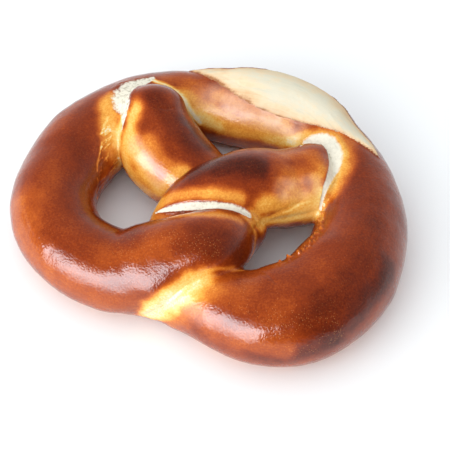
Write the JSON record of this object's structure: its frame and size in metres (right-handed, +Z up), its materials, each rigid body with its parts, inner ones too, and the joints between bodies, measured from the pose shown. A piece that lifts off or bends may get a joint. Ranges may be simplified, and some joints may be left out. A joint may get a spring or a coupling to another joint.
{
  "type": "soft pretzel",
  "caption": "Soft pretzel: a glossy browned rope of baked dough, ringed, twisted and pressed onto its own shoulders, with a long pale split along the belly.",
  "frame": {"origin": "middle of the bounding box at its lowest point, on the surface that the pretzel lies on", "axes": "+X from the left lobe to the right lobe, +Y from the dip to the belly with the split, +Z up"},
  "size_m": [0.162, 0.1342, 0.0405],
  "materials": {
    "crust": "glossy baked crust, mahogany on the high sides, golden at the joins, cream where it has split"
  },
  "bodies": {
    "root": {"pretzel": "crust"}
  },
  "joints": []
}
